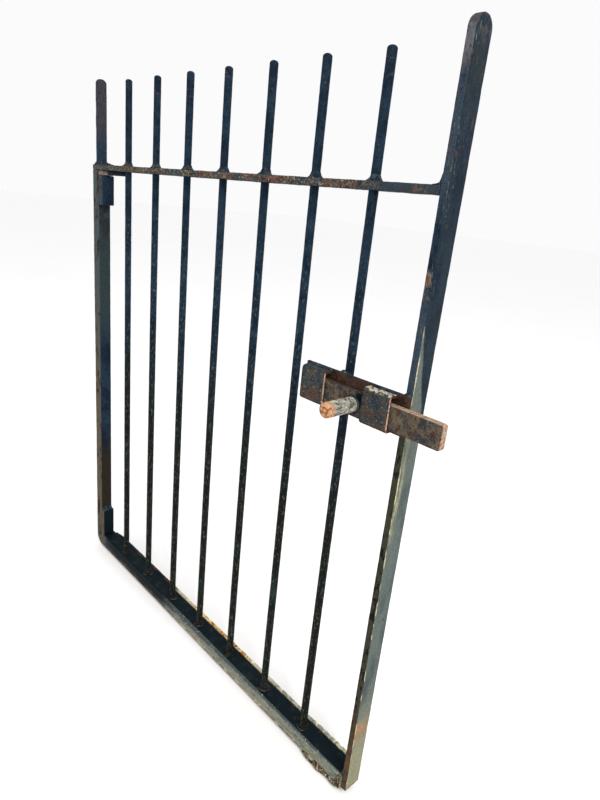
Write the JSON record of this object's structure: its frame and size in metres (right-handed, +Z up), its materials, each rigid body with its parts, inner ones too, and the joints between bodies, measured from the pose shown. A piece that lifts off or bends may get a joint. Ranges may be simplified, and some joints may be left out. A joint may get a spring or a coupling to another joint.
{
  "type": "garden gate",
  "caption": "Upright-bar steel garden gate with a flat-bar frame, a round finial on the hinge stile and a sliding bolt in U-shaped keepers.",
  "frame": {"origin": "the lower hinge point: on the hinge stile's outer face, at the middle of its depth and level with the middle of the lower hinge block", "axes": "+Z up along the bars, +X from the hinge side to the latch side, +Y from the face that carries the bolt to the back"},
  "size_m": [0.891, 0.1038, 1.023],
  "materials": {
    "frame_paint": "weathered black paint, worn brown and grey along the arrises",
    "bar_paint": "weathered blue-black paint with small chips",
    "finial_paint": "worn paint over mauve-brown rust",
    "latch_stile_paint": "blue-black paint fading to grey-green, rust at the edges",
    "top_rail_rust": "brown rust with patches of olive-grey paint",
    "bottom_rail_paint": "blue-black paint on top, pale worn front face with crusted rust",
    "weld_paint": "lumpy painted weld",
    "latch_plate_rust": "brown rust",
    "keeper_paint": "chipped grey-black paint over rust",
    "bolt_steel": "mottled brown-grey rust, rubbed orange on the edges",
    "handle_paint": "chipped grey-olive paint, rubbed orange at the end"
  },
  "bodies": {
    "gate": {"hinge_stile": "frame_paint", "hinge_stile_finial": "finial_paint", "finial_weld": "weld_paint", "finial_weld_tail": "weld_paint", "latch_stile": "latch_stile_paint", "top_rail": "top_rail_rust", "top_rail_end_weld": "top_rail_rust", "top_rail_latch_weld": "weld_paint", "bottom_rail": "bottom_rail_paint", "bottom_rear_strip": "bottom_rail_paint", "bottom_rail_latch_weld": "weld_paint", "bottom_corner_weld": "weld_paint", "bar_1": "bar_paint", "bar_2": "bar_paint", "bar_3": "bar_paint", "bar_4": "bar_paint", "bar_5": "bar_paint", "bar_6": "bar_paint", "bar_7": "bar_paint", "bar_weld_1": "weld_paint", "bar_weld_2": "weld_paint", "bar_weld_3": "weld_paint", "bar_weld_4": "weld_paint", "bar_weld_5": "weld_paint", "bar_weld_6": "weld_paint", "bar_weld_7": "weld_paint", "bar_foot_weld_1": "weld_paint", "bar_foot_weld_2": "weld_paint", "bar_foot_weld_3": "weld_paint", "bar_foot_weld_4": "weld_paint", "bar_foot_weld_5": "weld_paint", "bar_foot_weld_6": "weld_paint", "bar_foot_weld_7": "weld_paint", "upper_hinge_block": "frame_paint", "upper_hinge_block_weld": "weld_paint", "corner_doubler": "frame_paint", "lower_hinge_block": "frame_paint", "lower_hinge_block_weld": "weld_paint", "latch_plate": "latch_plate_rust", "bar_packing_block": "frame_paint", "plate_stile_weld": "weld_paint", "keeper_left": "keeper_paint", "keeper_left_lower_weld": "keeper_paint", "keeper_left_upper_weld": "keeper_paint", "keeper_right": "keeper_paint", "keeper_right_lower_weld": "keeper_paint", "keeper_right_upper_weld": "keeper_paint"},
    "bolt": {"bolt": "bolt_steel", "bolt_handle": "handle_paint", "bolt_handle_weld": "weld_paint"}
  },
  "joints": [
    {"name": "bolt_slide", "type": "slide", "parent": "gate", "child": "bolt", "axis": [1, 0, 0], "range_m": [-0.035, 0.003]}
  ]
}
